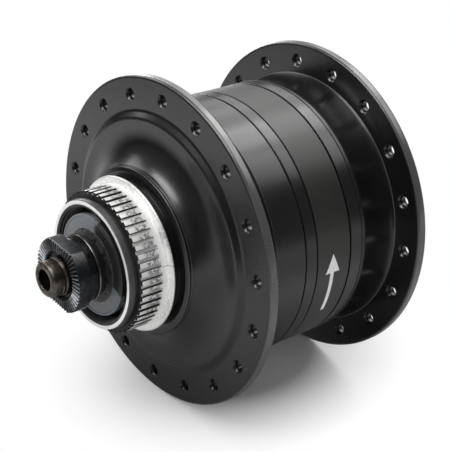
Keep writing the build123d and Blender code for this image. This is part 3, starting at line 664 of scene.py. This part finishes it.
def round_edges(bm, edges, offset, segments):
    """Rounds these edges of a bmesh."""
    bmesh.ops.bevel(bm, geom=edges, offset=offset * mm, offset_type="OFFSET", segments=segments, profile=0.5,
                    affect="EDGES", clamp_overlap=True, material=-1)


def merge(bm, extra):
    """Adds the parts of a second bmesh to the first."""
    mesh = bpy.data.meshes.new("extra")
    extra.to_mesh(mesh)
    extra.free()
    bm.from_mesh(mesh)
    bpy.data.meshes.remove(mesh)


bare_aluminium, tree, surface = start_finish("bare_aluminium")
place = object_place(tree)
parts = place_parts(tree, place)
radius = off_axis(tree, parts)
tops = between(tree, radius, 0.01868, 0.01882)
on_teeth = between(tree, parts[1], -0.0313, -0.0316)
fretting = dirt_mask(tree, 1500.0, 0.52, 0.10)
stretched = put(tree, "ShaderNodeMapping", None, Vector=place, Scale=(1.0, 0.25, 1.0)).outputs[0]
streaks = noise_at(tree, stretched, Scale=900.0, Detail=5.0, Roughness=0.7)
middle_zone = times(tree, between(tree, parts[1], -0.0314, -0.0326),
                    between(tree, parts[1], -0.0364, -0.0347))
fretted = times(tree, times(tree, tops, middle_zone),
                between(tree, plus(tree, fretting, streaks), 0.78, 1.22))
# The groove floors along the teeth are painted a little darker: painted shade.
groove_floor_shade = times(tree, on_teeth, between(tree, radius, 0.01836, 0.01827))
smears = dirt_mask(tree, 95.0, 0.40, 0.16)
marks = lathe_marks(tree, 5000.0)
clean = blend_of(tree, marks, (0.88, 0.88, 0.86, 1), (0.98, 0.98, 0.96, 1))
smeared = blend_of(tree, times(tree, smears, 0.45), clean, (0.66, 0.65, 0.61, 1))
used = blend_of(tree, times(tree, fretted, 0.85), smeared, (0.13, 0.135, 0.135, 1))
floor_shaded = blend_of(tree, times(tree, groove_floor_shade, 0.05), used, (0.10, 0.10, 0.09, 1))
on_shoulder = between(tree, radius, 0.0188, 0.0191)
set_sockets(tree, surface, Metallic=between(tree, on_shoulder, 0.1, 1.0, 0.15, 0.5))
across = off_ray(tree, parts, 40.0)
this_side = between(tree, plus(tree, parts[0], parts[2]), 0.0, 0.001)
stained = times(tree, times(tree, on_shoulder, this_side),
                times(tree, between(tree, across, 0.0016, 0.0034, 1.0, 0.0),
                      between(tree, streaks, 0.38, 0.60)))
greyed = blend_of(tree, times(tree, stained, 0.75), floor_shaded, (0.36, 0.385, 0.41, 1))
# One thin dark line on this side, across the back of the teeth in line with a groove: a painted shadow of the
# groove.
groove_shadow_line = between(tree, off_ray(tree, parts, 18.6), 0.00004, 0.00010, 1.0, 0.0)
groove_shadow_mark = times(tree, times(tree, groove_shadow_line, this_side), between(tree, parts[1], -0.0316, -0.0312))
set_sockets(tree, surface, Base_Color=blend_of(tree, times(tree, groove_shadow_mark, 0.8), greyed, (0.05, 0.05, 0.05, 1)))
dull = plus(tree, between(tree, smears, 0.0, 1.0, 0.26, 0.46), times(tree, fretted, 0.2))
set_sockets(tree, surface, Roughness=dull)
raise_surface(tree, surface, plus(tree, times(tree, marks, 0.5), times(tree, fretting, 0.5)), 0.00004, 0.6)

# Near black painted on the teeth: painted shade on the groove flanks and the rounded edges beside them, and the
# same near black on their front ends.
groove_shade, tree, surface = start_finish("groove_shade", Metallic=0.0, Specular_IOR_Level=0.25)
shade_mottle = dirt_mask(tree, 700.0, 0.5, 0.2)
set_sockets(tree, surface, Base_Color=blend_of(tree, shade_mottle, (0.010, 0.010, 0.010, 1),
                                               (0.032, 0.031, 0.029, 1)),
            Roughness=between(tree, shade_mottle, 0.0, 1.0, 0.45, 0.65))
raise_surface(tree, surface, shade_mottle, 0.00004, 0.6)

tooth_count = 52
pitch_angle = 2 * pi / tooth_count
bore_r, groove_r, land_r = 16.62, 18.25, 18.86
upper_r = 18.5
teeth_back, teeth_front = -31.3, -37.5
mouth = 0.44 * pitch_angle / 2
floor = 0.36 * pitch_angle / 2
shade_top = mouth - (mouth - floor) * 0.2
shade_edge = mouth + 0.0075
nearly = 1e-4
sector = [(bore_r, 0), (groove_r, 0), (groove_r, floor), (land_r, mouth), (land_r, pitch_angle * 0.36),
          (land_r, pitch_angle * 0.64), (land_r, pitch_angle - mouth), (18.74, pitch_angle - shade_top),
          (groove_r, pitch_angle - floor), (groove_r, pitch_angle), (bore_r, pitch_angle)]
spline_shape = bmesh.new()
back = spline_shape.faces.new([
    spline_shape.verts.new((radius * cos(angle) * mm, teeth_back * mm, radius * sin(angle) * mm))
    for radius, angle in sector])
front = bmesh.ops.extrude_face_region(spline_shape, geom=[back], use_keep_orig=True)["geom"]
bmesh.ops.translate(spline_shape, verts=[part for part in front if isinstance(part, bmesh.types.BMVert)],
                    vec=(0, (teeth_front - teeth_back) * mm, 0))
tip_edges = []
for edge in spline_shape.edges:
    radii = [sqrt(end.co.x ** 2 + end.co.z ** 2) for end in edge.verts]
    angle = atan2(edge.verts[0].co.z, edge.verts[0].co.x)
    at_front = all(end.co.y < (teeth_front + 0.1) * mm for end in edge.verts)
    lengthwise = abs(edge.verts[0].co.y - edge.verts[1].co.y) > mm
    at_corner = abs(angle - mouth) < nearly or abs(angle - pitch_angle + mouth) < nearly
    if max(radii) > upper_r * mm and ((at_front and min(radii) > upper_r * mm) or (lengthwise and at_corner)):
        tip_edges.append(edge)
round_edges(spline_shape, tip_edges, 0.13, 2)
side_walls = []
for part in spline_shape.faces:
    at_start = all(abs(end.co.z) < 1e-7 for end in part.verts)
    at_end = all(abs(atan2(end.co.z, end.co.x) - pitch_angle) < nearly for end in part.verts)
    if at_start or at_end:
        side_walls.append(part)
bmesh.ops.delete(spline_shape, geom=side_walls, context="FACES")
# Faces that take the painted shade: both groove flanks, one rounded tooth edge and the front ends of the teeth.
for part in spline_shape.faces:
    turned = [atan2(end.co.z, end.co.x) for end in part.verts]
    far_turned = [pitch_angle - angle for angle in turned]
    on_flank = min(turned) > floor - nearly and max(turned) < mouth + nearly
    on_edge = min(far_turned) > floor - nearly and max(far_turned) < shade_edge
    if on_flank or on_edge or all(end.co.y < (teeth_front + 0.01) * mm for end in part.verts):
        part.material_index = 1
bmesh.ops.spin(spline_shape, geom=whole(spline_shape), cent=(0, 0, 0), axis=(0, 1, 0), dvec=(0, 0, 0),
               angle=-2 * pi * (tooth_count - 1) / tooth_count, steps=tooth_count - 1, use_merge=False,
               use_duplicate=True)
bmesh.ops.remove_doubles(spline_shape, verts=spline_shape.verts[:], dist=2e-7)
bmesh.ops.recalc_face_normals(spline_shape, faces=spline_shape.faces[:])
merge(spline_shape, turn([
    (bore_r, -29.0, 0), (20.84, -29.0, 0.08), (20.84, -29.35, 0.12), (20.5, -29.6, 0.1), (19.1, -29.6, 0.1),
    (land_r, -29.85, 0.05), (land_r, -31.35, 0), (bore_r, -31.35, 0)], steps=4 * tooth_count))
settle("rotor_spline_piece", spline_shape, [bare_aluminium, groove_shade], "hub", ["rotor_spline_ring"],
       sharp=30)


# Generator.
# Ferrite magnets in a rolled steel ring turn around a coil of enamelled wire on a plastic bobbin, between two
# pressed plates whose claws reach over it. It is sealed in the shell and keeps its plain solids.
pressed_iron, tree, surface = start_finish("pressed_iron", Metallic=0.9)
stains = dirt_mask(tree, 140.0, 0.45, 0.2)
set_sockets(tree, surface, Base_Color=blend_of(tree, stains, (0.30, 0.30, 0.31, 1), (0.20, 0.19, 0.18, 1)),
            Roughness=between(tree, stains, 0.0, 1.0, 0.36, 0.55))
raise_surface(tree, surface, stains, 0.00002, 0.5)

ferrite, tree, surface = start_finish("ferrite", Metallic=0.2)
place = object_place(tree)
pores = noise_at(tree, place, Scale=2200.0, Detail=5.0)
set_sockets(tree, surface, Base_Color=blend_of(tree, pores, (0.045, 0.045, 0.05, 1), (0.085, 0.085, 0.09, 1)),
            Roughness=between(tree, pores, 0.2, 0.8, 0.5, 0.75))
raise_surface(tree, surface, pores, 0.00003, 0.6)

wound_copper, tree, surface = start_finish("wound_copper", Metallic=0.9, Coat_Weight=0.6)
place = object_place(tree)
strands = put(tree, "ShaderNodeTexWave", {"bands_direction": "Y"}, Vector=place, Scale=640.0, Distortion=0.6,
              Detail=1.0).outputs["Fac"]
set_sockets(tree, surface, Base_Color=blend_of(tree, strands, (0.30, 0.10, 0.035, 1), (0.62, 0.27, 0.10, 1)),
            Roughness=between(tree, strands, 0.0, 1.0, 0.45, 0.25))
raise_surface(tree, surface, strands, 0.0002, 0.8)

bobbin_plastic, tree, surface = start_finish("bobbin_plastic", Metallic=0.0)
place = object_place(tree)
cloud = noise_at(tree, place, Scale=160.0, Detail=4.0)
set_sockets(tree, surface, Base_Color=blend_of(tree, cloud, (0.56, 0.53, 0.46, 1), (0.66, 0.63, 0.57, 1)),
            Roughness=between(tree, cloud, 0.2, 0.8, 0.42, 0.55))

wire_red, tree, surface = start_finish("wire_red", Metallic=0.0)
place = object_place(tree)
cloud = noise_at(tree, place, Scale=400.0, Detail=3.0)
set_sockets(tree, surface, Base_Color=blend_of(tree, cloud, (0.30, 0.03, 0.02, 1), (0.42, 0.05, 0.035, 1)),
            Roughness=between(tree, cloud, 0.2, 0.8, 0.35, 0.5))

dress(pressed_iron, "yoke_ring", "stator_plate_disc_side", "stator_plate_connector_side", "stator_core")
dress(ferrite, "ring_magnets")
dress(wound_copper, "coil_winding")
dress(bobbin_plastic, "bobbin")
dress(wire_red, "lead_wire")


# Connector.
# A moulded black socket stands up from under the connector side locknut and opens upwards for the plug. Two
# tinned brass tabs stand in it, one from the coil and one from the washer.
def box(size, middle):
    """Closed box of this size about its middle."""
    bm = bmesh.new()
    bmesh.ops.create_cube(bm, size=1.0)
    bmesh.ops.scale(bm, verts=bm.verts[:], vec=[length * mm for length in size])
    bmesh.ops.translate(bm, verts=bm.verts[:], vec=[place * mm for place in middle])
    return bm


socket_plastic, tree, surface = start_finish("socket_plastic", Metallic=0.0)
place = object_place(tree)
spark = noise_at(tree, place, Scale=1900.0, Detail=4.0)
cloud = dirt_mask(tree, 120.0, 0.4, 0.25)
set_sockets(tree, surface, Base_Color=blend_of(tree, cloud, (0.020, 0.020, 0.021, 1),
                                               (0.032, 0.031, 0.030, 1)),
            Roughness=between(tree, spark, 0.3, 0.7, 0.42, 0.58))
raise_surface(tree, surface, spark, 0.00003, 0.7)

tinned_brass, tree, surface = start_finish("tinned_brass", Metallic=1.0)
rubbed = dirt_mask(tree, 380.0, 0.5, 0.15)
set_sockets(tree, surface, Base_Color=blend_of(tree, rubbed, (0.70, 0.66, 0.55, 1), (0.74, 0.55, 0.25, 1)),
            Roughness=between(tree, rubbed, 0.0, 1.0, 0.24, 0.36))

socket_w = 17.0
well_depth = 9.5
block_shape = box((socket_w, 6.9, 12.9), (0, 46.35, 19.05))
top = [part for part in block_shape.faces if part.normal.z > 0.9]
bmesh.ops.inset_region(block_shape, faces=top, thickness=1.0 * mm, use_even_offset=True)
well = bmesh.ops.extrude_face_region(block_shape, geom=top)["geom"]
bmesh.ops.delete(block_shape, geom=top, context="FACES")
bmesh.ops.translate(block_shape, verts=[part for part in well if isinstance(part, bmesh.types.BMVert)],
                    vec=(0, 0, -well_depth * mm))
bmesh.ops.recalc_face_normals(block_shape, faces=block_shape.faces[:])
outer_corners = [edge for edge in block_shape.edges
                 if all(abs(abs(end.co.x) - socket_w / 2 * mm) < 1e-6 for end in edge.verts)
                 and abs(edge.verts[0].co.z - edge.verts[1].co.z) > mm]
round_edges(block_shape, outer_corners, 1.2, 4)
soft_edges = [edge for edge in block_shape.edges if edge.is_manifold and edge.calc_face_angle(0) > radians(60)]
round_edges(block_shape, soft_edges, 0.2, 2)
merge(block_shape, turn([(on_axle, 43.4, 0), (12.6, 43.4, 0.3), (12.6, 46.0, 0.3), (on_axle, 46.0, 0.1)]))
merge(block_shape, box((16.6, 2.5, 9.0), (0, 44.7, 9.5)))
settle("terminal_block_piece", block_shape, [socket_plastic], "axle_assembly", ["terminal_block"],
       sharp=40)
dress(tinned_brass, "terminal_contacts")


# Table and light.
# The hub stands on a white table among ten soft boxes: wide ones above and before it, small ones low on the
# left and in a row behind. In mirror rays the table glows with painted rings of light and shade around the hub,
# one ramp behind it and one before it: a painted reflection. A dark curtain on the camera's side is mirrored in
# its black and bright metal.
def vector_math(tree, operation, first, second=(0, 0, 0)):
    """Outputs of a vector math node of the operation."""
    node = put(tree, "ShaderNodeVectorMath", {"operation": operation})
    feed(tree, node.inputs[0], first)
    feed(tree, node.inputs[1], second)
    return node.outputs


table_height = -0.045
table_half = 3.0
under_hub = (0.002, 0.010, table_height)
under_glow = (0.016, 0.012, table_height)
glow_reach = 0.60
table_white = bpy.data.materials.new("table_white")
table_white.use_nodes = True
tree = table_white.node_tree
tree.nodes.clear()
matt = put(tree, "ShaderNodeBsdfDiffuse", None, Color=(0.86, 0.86, 0.86, 1))
place = object_place(tree)
drawn_out = vector_math(tree, "MULTIPLY", vector_math(tree, "SUBTRACT", place, under_hub)[0],
                        (1.0, 0.75, 1.0))[0]
away = vector_math(tree, "LENGTH", drawn_out)["Value"]
out = vector_math(tree, "LENGTH", vector_math(tree, "SUBTRACT", place, under_glow)[0])["Value"]
# Painted reflection: in mirror rays the table glows with rings of light and shade, one ramp behind the hub and
# one before it.
reflection_halves = []
for stops in (
        ((0.0, 0.0), (0.04, 0.21), (0.08, 0.62), (0.13, 0.62), (0.20, 1.0), (0.32, 0.30), (glow_reach, 0.0)),
        ((0.0, 0.0), (0.04, 0.32), (0.08, 0.71), (0.13, 0.57), (0.20, 0.48), (0.32, 0.51), (glow_reach, 0.75))):
    steps = put(tree, "ShaderNodeValToRGB", None, Fac=math_of(tree, "DIVIDE", out, glow_reach))
    stop_list = steps.color_ramp.elements
    stop_list.remove(stop_list[1])
    for index, (reach, level) in enumerate(stops):
        stop = stop_list[0] if index == 0 else stop_list.new(reach / glow_reach)
        stop.color = (level, level, level, 1)
    reflection_halves.append(steps.outputs["Color"])
behind = between(tree, place_parts(tree, place)[1], -0.03, 0.03)
painted_reflection = blend_of(tree, behind, *reflection_halves)
path = put(tree, "ShaderNodeLightPath").outputs
mirrored = math_of(tree, "MAXIMUM", path["Is Glossy Ray"], path["Is Transmission Ray"])
level = blend_of(tree, path["Is Camera Ray"], painted_reflection, (1, 1, 1, 1))
glow = put(tree, "ShaderNodeEmission", None, Color=level, Strength=1.0)
faded = times(tree, path["Is Camera Ray"], between(tree, away, 0.0195, 0.044, smooth=False))
cover = put(tree, "ShaderNodeMixShader")
feed(tree, cover.inputs[0], math_of(tree, "MAXIMUM", mirrored, faded))
feed(tree, cover.inputs[1], matt.outputs[0])
feed(tree, cover.inputs[2], glow.outputs[0])
put(tree, "ShaderNodeOutputMaterial", None, Surface=cover.outputs[0])
table_shape = bmesh.new()
bmesh.ops.create_grid(table_shape, x_segments=1, y_segments=1, size=table_half)
bmesh.ops.translate(table_shape, verts=table_shape.verts[:], vec=(0, 0, table_height))
table = stand("table", table_shape, [table_white])

room = bpy.data.worlds.new("room")
room.use_nodes = True
scene.world = room
tree = room.node_tree
tree.nodes.clear()
path = put(tree, "ShaderNodeLightPath").outputs
soft = put(tree, "ShaderNodeBackground", None, Color=(0.97, 0.98, 1.0, 1), Strength=0.13)
white = put(tree, "ShaderNodeBackground", None, Color=(1, 1, 1, 1), Strength=1.0)
pick = put(tree, "ShaderNodeMixShader")
feed(tree, pick.inputs[0], path["Is Camera Ray"])
feed(tree, pick.inputs[1], soft.outputs[0])
feed(tree, pick.inputs[2], white.outputs[0])
put(tree, "ShaderNodeOutputWorld", None, Surface=pick.outputs[0])

for name, spot, width, height, power in (
        ("main_lamp", (0.00, -0.26, 0.70), 0.45, 0.45, 2.4),
        ("key_lamp", (-0.24, -0.57, 0.57), 0.55, 0.16, 2.6),
        ("side_lamp", (0.50, -0.50, 0.50), 0.35, 0.35, 1.3),
        ("left_lamp", (-0.72, -0.15, 0.35), 0.40, 0.40, 1.2),
        ("low_lamp", (-0.75, 0.30, 0.12), 0.30, 0.30, 1.75),
        ("back_lamp", (-0.14, 0.50, 0.64), 0.26, 0.35, 1.15),
        ("back_lamp_right", (0.04, 0.50, 0.66), 0.26, 0.35, 0.45),
        ("back_lamp_far", (0.22, 0.49, 0.62), 0.26, 0.35, 0.60),
        ("back_lamp_low", (-0.57, 0.48, 0.34), 0.30, 0.30, 0.40),
        ("back_lamp_left", (-0.34, 0.47, 0.55), 0.30, 0.35, 0.70)):
    lamp = bpy.data.objects.new(name, bpy.data.lights.new(name, "AREA"))
    lamp.data.shape = "RECTANGLE"
    lamp.data.size = width
    lamp.data.size_y = height
    lamp.data.energy = power
    lamp.location = spot
    lamp.rotation_euler = (-Vector(spot)).to_track_quat("-Z", "Y").to_euler()
    scene.collection.objects.link(lamp)

dark_cloth = start_finish("dark_cloth", Base_Color=(0.01, 0.01, 0.01, 1), Roughness=0.9)[0]
curtain_shape = bmesh.new()
bmesh.ops.create_grid(curtain_shape, x_segments=1, y_segments=1, size=0.5)
bmesh.ops.scale(curtain_shape, verts=curtain_shape.verts[:], vec=(1.6, 0.9, 1.0))
bmesh.ops.transform(curtain_shape, matrix=Matrix.Translation((0.52, -0.40, 0.33)) @ aim,
                    verts=curtain_shape.verts[:])
curtain = stand("dark_curtain", curtain_shape, [dark_cloth])
curtain.visible_camera = False
curtain.visible_shadow = False
curtain.visible_diffuse = False

scene.view_settings.view_transform = "Standard"

bpy.context.view_layer.update()
